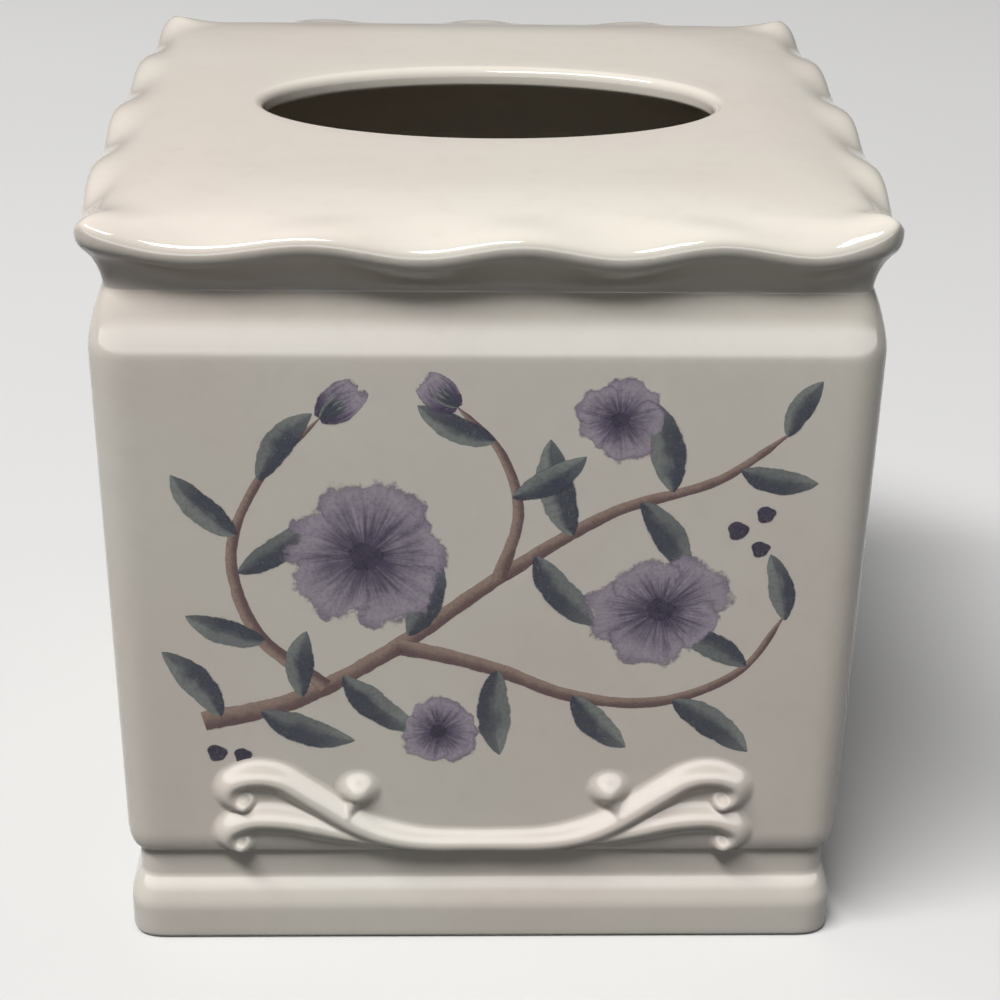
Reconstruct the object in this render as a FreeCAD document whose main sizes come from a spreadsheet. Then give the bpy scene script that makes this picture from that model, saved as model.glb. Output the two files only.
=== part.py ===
import FreeCAD, Part
import math
import os

import Sketcher
from FreeCAD import Placement, Rotation, Vector

# Glazed ceramic cover that drops over a cube carton of tissues. A hollow body stands on a plinth,
# a scalloped plate with an oval mouth closes it, and a relief scroll is pressed on each wall.
# Millimetres, Z up, the origin on the floor under the middle, the front wall towards -Y.

SIZES = (
    ("carton_room", 112.6, "clear width for the carton, inside the plinth and the neck"),
    ("wall_thickness", 4.5, "thickness of the cast wall"),
    ("inner_corner_radius", 0.8, "radius of the clear room's upright corners"),
    ("fit_clearance", 0.25, "play round each locating tongue"),
    ("tongue_height", 2.5, "height of each locating tongue"),
    ("plinth_height", 12.6, "height of the plinth's moulding"),
    ("plinth_round", 6.0, "height over which the plinth rounds in to the groove"),
    ("plinth_edge_round", 1.0, "radius of the plinth's lower edge"),
    ("plinth_proud", 0.2, "how far the plinth stands past the foot of the wall"),
    ("groove_height", 5.6, "height of the groove between plinth and wall"),
    ("groove_depth", 1.8, "depth of the groove behind the foot of the wall"),
    ("wall_height", 96.1, "height of the flat wall"),
    ("wall_lean", 0.45, "how far the wall leans out over its height"),
    ("foot_rise", 5.0, "height over which the wall rounds in to its foot"),
    ("foot_inset", 1.3, "how far the wall rounds in at its foot"),
    ("shoulder_height", 9.2, "height of the rounded shoulder"),
    ("shoulder_inset", 2.6, "how far the shoulder draws in to the neck"),
    ("cove_height", 6.5, "height of the cove under the lip"),
    ("cove_flare", 2.7, "how far the cove spreads"),
    ("lip_overhang", 5.5, "how far the lip stands past the neck, half way along a side"),
    ("lip_bow", 2.2, "how far each side of the lip bows out between its corners"),
    ("lip_thickness", 6.5, "thickness of the lip's slab"),
    ("lip_round", 2.5, "radius of the slab's upper edge"),
    ("lip_tip_radius", 4.8, "radius of the lip's corners, seen from above"),
    ("roll_width", 3.6, "width of the wavy roll along the lip's edge"),
    ("roll_height", 6.0, "height of the wavy roll along the lip's edge"),
    ("roll_lift", 2.6, "height of the roll's middle over the slab's underside"),
    ("scallop_rise", 1.1, "how far the roll rises to a crest and falls to a valley"),
    ("plate_thickness", 3.6, "thickness of the plate round the mouth"),
    ("mouth_length", 80.5, "length of the oval mouth"),
    ("mouth_width", 40.5, "width of the oval mouth"),
    ("mouth_round", 1.8, "radius of the mouth's upper edge"),
    ("mouth_under_round", 0.8, "radius of the mouth's lower edge"),
    ("scroll_reach", 44.0, "half length of the scroll along its centre line"),
    ("scroll_stem", 2.1, "half width of the scroll's stem at its widest"),
    ("scroll_relief", 3.5, "how far the stem stands out from the wall"),
    ("knob_radius", 3.8, "radius of the ball beside each arm"),
)

SCALLOPS_PER_SIDE = 4
WAVE_POINTS = 8
NECK_TONGUE_SHARE = 0.4
LEVEL_NEAR_SHARE = 0.01
SIDES = ("front", "right", "back", "left")
QUARTER_TURN = 90.0

doc = FreeCAD.newDocument("tissue_box_cover")
sheet = doc.addObject("Spreadsheet::Sheet", "Sizes")
for row, (alias, millimetres, meaning) in enumerate(SIZES, start=1):
    sheet.set(f"A{row}", meaning)
    sheet.set(f"B{row}", str(millimetres))
    sheet.setAlias(f"B{row}", alias)
doc.recompute()


class Size:
    """A length with the expression that gives it, so that a sum of sizes stays bound to the sheet."""

    def __init__(self, text, number):
        self.text = text
        self.number = float(number)

    def __add__(self, other):
        other = as_size(other)
        return Size(f"({self.text} + {other.text})", self.number + other.number)

    def __sub__(self, other):
        other = as_size(other)
        return Size(f"({self.text} - {other.text})", self.number - other.number)

    def __mul__(self, other):
        other = as_size(other)
        return Size(f"({self.text} * {other.text})", self.number * other.number)

    def __truediv__(self, other):
        other = as_size(other)
        return Size(f"({self.text} / {other.text})", self.number / other.number)

    def __neg__(self):
        return Size(f"(0 - {self.text})", -self.number)


def as_size(value):
    return value if isinstance(value, Size) else Size(repr(value), value)


def size(alias):
    return Size(f"Sizes.{alias}", getattr(sheet, alias))


ZERO = Size("0", 0)

# Half widths, from the clear room outwards
room_half = size("carton_room") / 2
corner_centre = room_half - size("inner_corner_radius")
neck_half = room_half + size("wall_thickness")
wall_half = neck_half + size("shoulder_inset")
foot_half = wall_half - size("wall_lean")
plinth_half = foot_half + size("plinth_proud")
groove_half = foot_half - size("groove_depth")
cove_half = neck_half + size("cove_flare")
lip_half = neck_half + size("lip_overhang")
roll_half = lip_half - size("roll_width") / 2
wall_inner_half = wall_half - size("wall_thickness")
foot_inner_half = foot_half - size("wall_thickness")
foot_tongue_half = foot_inner_half - size("fit_clearance")
neck_tongue_half = room_half + size("wall_thickness") * NECK_TONGUE_SHARE
neck_rebate_half = neck_tongue_half + size("fit_clearance")

# Heights, stacked from the floor
plinth_top = size("plinth_height")
foot_level = plinth_top + size("groove_height")
wall_top = foot_level + size("wall_height")
neck_level = wall_top + size("shoulder_height")
lip_level = neck_level + size("cove_height")
roll_level = lip_level + size("roll_lift")
plate_top = lip_level + size("lip_thickness")
plate_underside = plate_top - size("plate_thickness")
foot_tongue_top = foot_level + size("tongue_height")
neck_tongue_top = neck_level + size("tongue_height")
neck_rebate_top = neck_tongue_top + size("fit_clearance")


def new_body(label):
    body = doc.addObject("PartDesign::Body", label)
    body.Label = label
    return body


def new_sketch(body, name, role, level=ZERO):
    """A sketch on one of the body's own planes, raised to a level above it."""
    sketch = body.newObject("Sketcher::SketchObject", name)
    plane = next(f for f in body.Origin.OriginFeatures if f.Role == role)
    sketch.AttachmentSupport = [(plane, "")]
    sketch.MapMode = "FlatFace"
    if level is not ZERO:
        sketch.setExpression("AttachmentOffset.Base.z", level.text)
    return sketch


def bind(sketch, constraint, length):
    index = sketch.addConstraint(constraint)
    sketch.setExpression(f"Constraints[{index}]", length.text)


def pin_point(sketch, geometry, end, x, y):
    """Ties one end of a line or arc to its place, measured from the sketch's origin."""
    for length, kind, axis in ((x, "DistanceX", -2), (y, "DistanceY", -1)):
        if length is ZERO:
            sketch.addConstraint(Sketcher.Constraint("PointOnObject", geometry, end, axis))
        else:
            pinned = Sketcher.Constraint(kind, -1, 1, geometry, end, length.number)
            bind(sketch, pinned, length)


def arc_between(start, end, radius, turn):
    """The arc of under half a circle from start to end that turns left (1) or right (-1)."""
    chord = end - start
    middle = (start + end) * 0.5
    left = Vector(-chord.y, chord.x, 0).normalize()
    reach = math.sqrt(radius**2 - (chord.Length / 2) ** 2)
    centre = middle + left * (turn * reach)
    angles = [math.atan2(p.y - centre.y, p.x - centre.x) for p in (start, end)]
    if turn < 0:
        angles.reverse()
    return Part.ArcOfCircle(Part.Circle(centre, Vector(0, 0, 1), radius), *angles)


def add_outline(sketch, stretches):
    """A closed outline. Each stretch is (x, y) of its start, its radius or None, and its turn."""
    count = len(stretches)
    ends = []
    for index, (x, y, radius, turn) in enumerate(stretches):
        next_x, next_y = stretches[(index + 1) % count][:2]
        start = Vector(x.number, y.number, 0)
        end = Vector(next_x.number, next_y.number, 0)
        if radius is None:
            geometry = sketch.addGeometry(Part.LineSegment(start, end), False)
        else:
            geometry = sketch.addGeometry(arc_between(start, end, radius.number, turn), False)
        first, last = (1, 2) if radius is None or turn > 0 else (2, 1)
        ends.append((geometry, first, last))
    for index, (x, y, radius, turn) in enumerate(stretches):
        geometry, first, last = ends[index]
        following, next_first, next_last = ends[(index + 1) % count]
        sketch.addConstraint(
            Sketcher.Constraint("Coincident", geometry, last, following, next_first)
        )
        pin_point(sketch, geometry, first, x, y)
        if radius is not None:
            bind(sketch, Sketcher.Constraint("Radius", geometry, radius.number), radius)


def line(x, y):
    return (x, y, None, 0)


def arc_left(x, y, radius):
    return (x, y, radius, 1)


def arc_right(x, y, radius):
    return (x, y, radius, -1)


def arc_radius(chord, rise):
    """Radius of the arc that rises by rise over a chord."""
    return (chord * chord / 4 + rise * rise) / (rise * 2)


def tangent_radius(run, rise):
    """Radius of the arc that leaves its tangent by rise after a run along it."""
    return (run * run + rise * rise) / (rise * 2)


def square_ring(body, name, profile):
    """Sweeps a wall profile, drawn in the XZ plane, round the square of the clear room."""
    path = new_sketch(body, f"{name}_path", "XY_Plane")
    radius = size("inner_corner_radius")
    side, flat = room_half, corner_centre
    corners = (
        (side, -flat, side, flat),
        (flat, side, -flat, side),
        (-side, flat, -side, -flat),
        (-flat, -side, flat, -side),
    )
    stretches = []
    for start_x, start_y, end_x, end_y in corners:
        stretches.append(line(start_x, start_y))
        stretches.append(arc_left(end_x, end_y, radius))
    add_outline(path, stretches)
    section = new_sketch(body, f"{name}_section", "XZ_Plane")
    add_outline(section, profile)
    doc.recompute()
    ring = body.newObject("PartDesign::AdditivePipe", name)
    ring.Profile = section
    ring.Spine = (path, [])
    doc.recompute()
    return ring


def level_edges(shape, level, reach):
    """Names of the edges that lie wholly at one height and within reach of the middle."""
    names = []
    near = sheet.fit_clearance * LEVEL_NEAR_SHARE
    for index, edge in enumerate(shape.Edges, start=1):
        heights = [vertex.Z for vertex in edge.Vertexes] + [edge.CenterOfMass.z]
        level_all_along = all(abs(height - level.number) < near for height in heights)
        if level_all_along and max(abs(vertex.X) for vertex in edge.Vertexes) < reach.number:
            names.append(f"Edge{index}")
    return names


def round_level(body, base, name, level, reach, radius_alias):
    """Rounds every edge of a body that lies at one height and within reach of the middle."""
    fillet = body.newObject("PartDesign::Fillet", name)
    fillet.Base = (base, level_edges(base.Shape, level, reach))
    fillet.setExpression("Radius", f"Sizes.{radius_alias}")
    doc.recompute()
    return fillet


def make_base_plinth():
    body = new_body("base_plinth")
    round_start = plinth_top - size("plinth_round")
    top_radius = tangent_radius(size("plinth_round"), plinth_half - groove_half)
    low_round = size("plinth_edge_round")
    square_ring(
        body,
        "plinth_ring",
        [
            line(room_half, ZERO),
            arc_left(plinth_half - low_round, ZERO, low_round),
            line(plinth_half, low_round),
            arc_left(plinth_half, round_start, top_radius),
            line(groove_half, plinth_top),
            line(groove_half, foot_level),
            line(foot_tongue_half, foot_level),
            line(foot_tongue_half, foot_tongue_top),
            line(room_half, foot_tongue_top),
        ],
    )
    return body


def make_body_shell():
    body = new_body("body_shell")
    foot_radius = tangent_radius(size("foot_rise"), size("foot_inset"))
    shoulder_radius = tangent_radius(size("shoulder_height"), size("shoulder_inset"))
    square_ring(
        body,
        "wall_ring",
        [
            line(foot_inner_half, foot_level),
            arc_left(foot_half - size("foot_inset"), foot_level, foot_radius),
            line(foot_half, foot_level + size("foot_rise")),
            arc_left(wall_half, wall_top, shoulder_radius),
            line(neck_half, neck_level),
            line(neck_tongue_half, neck_level),
            line(neck_tongue_half, neck_tongue_top),
            line(room_half, neck_tongue_top),
            line(room_half, neck_level),
            line(wall_inner_half, wall_top),
        ],
    )
    return body


def bowed_side():
    """The bowed sides of the lip's slab: their radius, the corners' radius and where the two meet."""
    bow_radius = tangent_radius(roll_half, size("lip_bow"))
    tip = size("lip_tip_radius") - size("roll_width") / 2
    # A corner's arc touches the side's arc from inside, with its middle on the diagonal.
    inward = (bow_radius - roll_half).number
    touch = (bow_radius - tip).number
    tip_centre = (math.sqrt(2 * touch**2 - inward**2) - inward) / 2
    end_along = bow_radius * (tip_centre / touch)
    end_out = bow_radius * ((tip_centre + inward) / touch) - (bow_radius - roll_half)
    return bow_radius, tip, end_along, end_out


def slab_outline():
    bow_radius, tip, end_along, end_out = bowed_side()
    stretches = []
    for turn in range(len(SIDES)):
        for x, y, radius in ((-end_along, -end_out, bow_radius), (end_along, -end_out, tip)):
            for quarter in range(turn):
                x, y = -y, x
            stretches.append(arc_left(x, y, radius))
    return stretches


def wave_edge(turn, start_share, end_share):
    """Part of the roll's middle line along one side, between two shares of the side."""
    bow_radius, tip, end_along, end_out = bowed_side()
    reach = math.asin(end_along.number / bow_radius.number)
    count = WAVE_POINTS * SCALLOPS_PER_SIDE // 2
    quarter = Rotation(Vector(0, 0, 1), turn * QUARTER_TURN)
    points, headings = [], []
    for index in range(count + 1):
        share = start_share + (end_share - start_share) * index / count
        angle = (2 * share - 1) * reach
        out = roll_half.number - bow_radius.number * (1 - math.cos(angle))
        wave = sheet.scallop_rise * math.cos(math.radians(360 * SCALLOPS_PER_SIDE * share))
        place = Vector(out, bow_radius.number * math.sin(angle), roll_level.number + wave)
        points.append(quarter.multVec(place))
        headings.append(quarter.multVec(Vector(-math.sin(angle), math.cos(angle), 0)))
    curve = Part.BSplineCurve()
    curve.interpolate(Points=points, InitialTangent=headings[0], FinalTangent=headings[-1])
    return curve.toShape()


def roll_path():
    """The roll's middle line, which crests at the corners and at each quarter of a side."""
    bow_radius, tip, end_along, end_out = bowed_side()
    crest = roll_level.number + sheet.scallop_rise
    corner_start = Vector(end_out.number, end_along.number, crest)
    corner_end = Vector(end_along.number, end_out.number, crest)
    tip_centre = end_along.number - tip.number * end_along.number / bow_radius.number
    diagonal = tip_centre + tip.number * math.sqrt(0.5)
    corner_middle = Vector(diagonal, diagonal, crest)
    edges = []
    for turn in range(len(SIDES)):
        quarter = Rotation(Vector(0, 0, 1), turn * QUARTER_TURN)
        corner = [quarter.multVec(p) for p in (corner_start, corner_middle, corner_end)]
        edges.append(wave_edge(turn, 0.5, 1.0))
        edges.append(Part.Arc(*corner).toShape())
        edges.append(wave_edge(turn + 1, 0.0, 0.5))
    path = doc.addObject("Part::Feature", "roll_path")
    path.Shape = Part.Wire(edges)
    return path


def oval_sketch(body, name, role, level, centre, widths):
    """An oval with its long or short axis level, its middle and both its widths tied to sizes."""
    sketch = new_sketch(body, name, role, level)
    wide, high = widths
    middle = Vector(centre[0].number, centre[1].number, 0)
    long_half, short_half = sorted((wide.number / 2, high.number / 2), reverse=True)
    oval = Part.Ellipse(middle, long_half, short_half)
    if high.number > wide.number:
        oval = Part.Ellipse(middle + Vector(0, long_half, 0), middle + Vector(short_half, 0, 0), middle)
    ellipse = sketch.addGeometry(oval, False)
    sketch.exposeInternalGeometry(ellipse)
    axes = {True: wide, False: high}
    long_axis, short_axis = ellipse + 1, ellipse + 2
    wide_is_long = wide.number >= high.number
    sketch.addConstraint(Sketcher.Constraint("Horizontal" if wide_is_long else "Vertical", long_axis))
    for axis, across in ((long_axis, axes[wide_is_long]), (short_axis, axes[not wide_is_long])):
        bind(sketch, Sketcher.Constraint("Distance", axis, 1, axis, 2, across.number), across)
    pin_point(sketch, ellipse, 3, *centre)
    doc.recompute()
    return sketch


def add_roll(body):
    """The wavy roll along the lip's edge, its oval section kept upright."""
    centre = (roll_half, roll_level + size("scallop_rise"))
    widths = (size("roll_width"), size("roll_height"))
    section = oval_sketch(body, "roll_section", "XZ_Plane", ZERO, centre, widths)
    path = roll_path()
    roll = body.newObject("PartDesign::AdditivePipe", "lip_roll")
    roll.Profile = section
    roll.Spine = (path, [f"Edge{number}" for number in range(1, len(path.Shape.Edges) + 1)])
    roll.Mode = "Binormal"
    roll.Binormal = Vector(0, 0, 1)
    doc.recompute()
    return roll


def add_mouth(body):
    """Cuts the oval mouth through the plate."""
    widths = (size("mouth_length"), size("mouth_width"))
    outline = oval_sketch(body, "mouth_outline", "XY_Plane", plate_top, (ZERO, ZERO), widths)
    mouth = body.newObject("PartDesign::Pocket", "mouth")
    mouth.Profile = outline
    mouth.Type = "ThroughAll"
    doc.recompute()
    return mouth


def make_top_plate():
    body = new_body("top_plate")
    outline = new_sketch(body, "lip_outline", "XY_Plane", lip_level)
    add_outline(outline, slab_outline())
    doc.recompute()
    slab = body.newObject("PartDesign::Pad", "lip_slab")
    slab.Profile = outline
    slab.setExpression("Length", "Sizes.lip_thickness")
    doc.recompute()
    everywhere = lip_half * 2
    rounded = round_level(body, slab, "lip_upper_round", plate_top, everywhere, "lip_round")
    roll = add_roll(body)
    if not roll.Shape.Volume > rounded.Shape.Volume:
        raise RuntimeError("the roll adds nothing")
    cove_radius = tangent_radius(size("cove_height"), size("cove_flare"))
    collar = square_ring(
        body,
        "cove_ring",
        [
            line(neck_rebate_half, neck_level),
            arc_right(neck_half, neck_level, cove_radius),
            line(cove_half, lip_level),
            line(cove_half, roll_level),
            line(room_half, roll_level),
            line(room_half, neck_rebate_top),
            line(neck_rebate_half, neck_rebate_top),
        ],
    )
    hollow_outline = new_sketch(body, "hollow_outline", "XY_Plane", lip_level)
    add_outline(
        hollow_outline,
        [
            line(-room_half, -room_half),
            line(room_half, -room_half),
            line(room_half, room_half),
            line(-room_half, room_half),
        ],
    )
    doc.recompute()
    hollow = body.newObject("PartDesign::Pocket", "hollow")
    hollow.Profile = hollow_outline
    hollow.Reversed = True
    hollow.setExpression("Length", (size("lip_thickness") - size("plate_thickness")).text)
    doc.recompute()
    if not hollow.Shape.Volume < collar.Shape.Volume:
        raise RuntimeError("the hollow under the plate cuts nothing")
    mouth = add_mouth(body)
    if not mouth.Shape.Volume < hollow.Shape.Volume:
        raise RuntimeError("the mouth cuts nothing")
    round_both = size("mouth_length") / 2 + size("mouth_round")
    rim = round_level(body, mouth, "mouth_upper_round", plate_top, round_both, "mouth_round")
    round_level(body, rim, "mouth_lower_round", plate_underside, round_both, "mouth_under_round")
    return body


# The scroll's centre lines, as runs that follow each other without a kink. A run is a radius, or a
# length where it is straight, as a share of the reach, with the degrees that it turns to the left.
STEM_RUN_SHARES = ((1.09, 30.0), (0.27, 0.0), (0.186, -60.0))
STEM_START_SHARES = (0.0, 0.08)
ARM_RUN_SHARES = ((1.02, 18.0), (0.16, 0.0), (0.64, -18.0), (0.186, -40.0))
ARM_START_SHARES = (0.227, 0.059)
STALK_RUN_SHARES = ((0.155, 0.0),)
STALK_START_SHARES = (0.636, 0.277)
STALK_HEADING = 154.0
# Each curl ends pointing back to the middle. Its radius follows the stem, so that it never closes up.
CURL_RADIUS_SHARE = 1.05
CURL_END_HEADING = -180.0
# The stem's curl comes down on the arm: height of its end over the arm's centre line, by the stem.
CURL_LEAN_SHARE = 1.5
# Thickness along each centre line: (share of its length, share of the full thickness)
STEM_TAPER_SHARES = ((0.0, 0.86), (0.3, 1.0), (0.5, 1.05), (0.8, 1.0), (1.0, 0.86))
ARM_TAPER_SHARES = ((0.0, 0.3), (0.24, 0.4), (0.5, 0.95), (0.7, 1.0), (1.0, 0.82))
STALK_TAPER_SHARES = ((0.0, 0.9), (1.0, 0.9))
CURL_BALL_SHARE = 0.92
TURN_PER_SECTION = 12.0


def follow(start, heading, runs):
    """Points along the runs from a start, each with its heading in degrees."""
    x, z = start
    stations = [(x, z, heading)]
    for length, turn in runs:
        pieces = max(2, math.ceil(abs(turn) / TURN_PER_SECTION))
        for piece in range(pieces):
            bend = math.radians(turn) / pieces
            chord = 2 * length * math.sin(abs(bend) / 2) if turn else length / pieces
            course = math.radians(heading) + bend / 2
            x += chord * math.cos(course)
            z += chord * math.sin(course)
            heading += turn / pieces
            stations.append((x, z, heading))
    return stations


def taper_at(tapers, share):
    for (low, low_taper), (high, high_taper) in zip(tapers, tapers[1:]):
        if share <= high:
            return low_taper + (high_taper - low_taper) * (share - low) / (high - low)
    return tapers[-1][1]


def centre_line(start_shares, heading, run_shares):
    """Stations along runs that are given as shares of the reach."""
    reach = sheet.scroll_reach
    start = [share * reach for share in start_shares]
    return follow(start, heading, [(share * reach, turn) for share, turn in run_shares])


def add_curl(stations, radius):
    """Carries a centre line on to the right until it points back to the middle."""
    x, z, heading = stations[-1]
    stations.extend(follow((x, z), heading, [(radius, CURL_END_HEADING - heading)])[1:])


def stem_and_arm():
    """The two centre lines of half a scroll, the stem's curl resting on the arm below it."""
    tight = CURL_RADIUS_SHARE * sheet.scroll_stem
    arm = centre_line(ARM_START_SHARES, 0.0, ARM_RUN_SHARES)
    rest_level = max(z for x, z, heading in arm) + CURL_LEAN_SHARE * sheet.scroll_stem
    add_curl(arm, tight)
    stem = centre_line(STEM_START_SHARES, 0.0, STEM_RUN_SHARES)
    x, z, heading = stem[-1]
    add_curl(stem, max(tight, (z - rest_level) / (1 + math.cos(math.radians(heading)))))
    return stem, arm


def thicken(stations, tapers):
    """Gives each station its share of the full thickness, by its distance along the line."""
    places = [0.0]
    for (x, z, heading), (next_x, next_z, next_heading) in zip(stations, stations[1:]):
        places.append(places[-1] + math.hypot(next_x - x, next_z - z))
    shares = [taper_at(tapers, place / places[-1]) for place in places]
    return [(x, z, heading, share) for (x, z, heading), share in zip(stations, shares)]


def stem_section(x, z, heading, share):
    """The oval section across a stem that stands half sunk in the plane of the wall."""
    centre = Vector(x, 0, z)
    angle = math.radians(heading)
    outward = Vector(0, -share * sheet.scroll_relief, 0)
    across = Vector(-math.sin(angle), 0, math.cos(angle)) * (share * sheet.scroll_stem)
    return Part.Wire(Part.Ellipse(centre + outward, centre + across, centre).toShape())


def stem_solid(stations):
    """A solid through the sections, straight from each one to the next."""
    return Part.makeLoft([stem_section(*station) for station in stations], True, True)


def ball_solid(x, z, half_width, relief):
    matrix = FreeCAD.Matrix()
    matrix.scale(half_width, relief, half_width)
    ball = Part.makeSphere(1).transformGeometry(matrix)
    ball.translate(Vector(x, 0, z))
    return ball


def mirrored(stations):
    return [(-x, z, -heading, share) for x, z, heading, share in reversed(stations)]


def scroll_shape():
    """One relief scroll, flat backed, its middle at the origin on the foot line of the wall."""
    stem_line, arm_line = stem_and_arm()
    stalk_line = centre_line(STALK_START_SHARES, STALK_HEADING, STALK_RUN_SHARES)
    stem = thicken(stem_line, STEM_TAPER_SHARES)
    arm = thicken(arm_line, ARM_TAPER_SHARES)
    stalk = thicken(stalk_line, STALK_TAPER_SHARES)
    solids = [stem_solid(mirrored(stem)[:-1] + stem)]
    for half in (lambda stations: stations, mirrored):
        solids.append(stem_solid(half(arm)))
        solids.append(stem_solid(half(stalk)))
    ball_width = CURL_BALL_SHARE * sheet.scroll_stem
    ball_relief = CURL_BALL_SHARE * sheet.scroll_relief
    for side in (1, -1):
        for line_end in (stem[-1], arm[-1]):
            solids.append(ball_solid(side * line_end[0], line_end[1], ball_width, ball_relief))
        knob_centre = Vector(side * stalk[-1][0], 0, stalk[-1][1])
        solids.append(Part.makeSphere(sheet.knob_radius, knob_centre))
    whole = solids[0].fuse(solids[1:])
    box = whole.BoundBox
    front = Part.makeBox(box.XLength, -box.YMin, box.ZLength, Vector(box.XMin, box.YMin, box.ZMin))
    relief = whole.common(front)
    if len(relief.Solids) != 1:
        raise RuntimeError("the scroll is not one solid")
    return relief.Solids[0]


def make_scrolls():
    """The same scroll on each wall, seated on the leaning face."""
    shape = scroll_shape()
    lean = math.degrees(math.atan2(sheet.wall_lean, sheet.wall_height - sheet.foot_rise))
    foot = Vector(0, -foot_half.number, foot_level.number)
    scrolls = []
    for turn, side in enumerate(SIDES):
        scroll = doc.addObject("Part::Feature", f"scroll_{side}")
        scroll.Label = f"scroll_{side}"
        scroll.Shape = shape
        quarter = Rotation(Vector(0, 0, 1), turn * QUARTER_TURN)
        tilt = Rotation(Vector(1, 0, 0), lean)
        scroll.Placement = Placement(quarter.multVec(foot), quarter.multiply(tilt))
        scrolls.append(scroll)
    return scrolls


def main():
    pieces = [make_base_plinth(), make_body_shell(), make_top_plate(), *make_scrolls()]
    doc.recompute()
    for item in doc.Objects:
        if {"Invalid", "Error"} & set(item.State):
            raise RuntimeError(f"{item.Label} failed: {item.State}")
    os.makedirs("parts", exist_ok=True)
    for piece in pieces:
        if piece.Shape.isNull() or not piece.Shape.isValid():
            raise RuntimeError(f"{piece.Label} has no sound shape")
        piece.Shape.exportStep(f"parts/{piece.Label}.step")
        box = piece.Shape.BoundBox
        print(piece.Label, len(piece.Shape.Solids), round(piece.Shape.Volume), box)


main()
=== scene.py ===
import math

import bpy
import numpy as np
from bpy.props import FloatProperty, FloatVectorProperty, PointerProperty
from mathutils import Matrix, Vector


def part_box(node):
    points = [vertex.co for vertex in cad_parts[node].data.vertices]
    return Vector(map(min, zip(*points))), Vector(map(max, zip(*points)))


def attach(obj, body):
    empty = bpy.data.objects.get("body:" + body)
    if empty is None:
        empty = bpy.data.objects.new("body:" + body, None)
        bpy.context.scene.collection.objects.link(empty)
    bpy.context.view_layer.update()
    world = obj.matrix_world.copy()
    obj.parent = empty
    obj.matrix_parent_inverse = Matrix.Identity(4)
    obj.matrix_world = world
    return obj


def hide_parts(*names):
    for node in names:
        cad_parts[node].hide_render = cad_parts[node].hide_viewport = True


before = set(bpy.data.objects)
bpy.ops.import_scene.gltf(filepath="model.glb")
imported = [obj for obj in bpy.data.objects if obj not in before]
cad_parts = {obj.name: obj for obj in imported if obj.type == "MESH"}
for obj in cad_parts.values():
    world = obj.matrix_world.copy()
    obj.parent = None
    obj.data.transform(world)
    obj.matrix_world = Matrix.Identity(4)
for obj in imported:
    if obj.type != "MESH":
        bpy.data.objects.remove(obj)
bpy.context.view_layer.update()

bl_info = {
    "name": "Scalloped tissue box cover",
    "version": (1, 0, 0),
    "blender": (4, 5, 0),
    "location": "View3D > Sidebar > Cover",
    "description": "Glazed ceramic tissue box cover with relief scrolls and a floral print",
    "category": "Add Mesh",
}

# Metres, Z up, the origin on the floor under the middle, the front wall towards -Y.
PLINTH_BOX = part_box("base_plinth")
BODY_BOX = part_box("body_shell")
PLATE_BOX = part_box("top_plate")
SIDES = ("front", "right", "back", "left")
MM = 0.001
# How far the wall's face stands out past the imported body
WALL_PROUD = 0.4 * MM
# Thickness of the neck's tongue, as a share of the wall
NECK_TONGUE_SHARE = 0.4


def length(default, name, description):
    return FloatProperty(
        name=name, description=description, default=default, unit="LENGTH", precision=5
    )


def share(default, name, description):
    return FloatProperty(name=name, description=description, default=default, min=0.0, max=100.0)


def angle(default, name, description):
    return FloatProperty(
        name=name, description=description, default=math.radians(default), subtype="ANGLE"
    )


def colour(red, green, blue, name, description):
    """A colour property whose default is written as display values from 0 to 255."""
    linear = [display_to_linear(value / 255) for value in (red, green, blue)]
    return FloatVectorProperty(
        name=name, description=description, default=linear, subtype="COLOR", min=0.0, max=1.0
    )


def display_to_linear(value):
    return value / 12.92 if value <= 0.04045 else ((value + 0.055) / 1.055) ** 2.4


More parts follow.
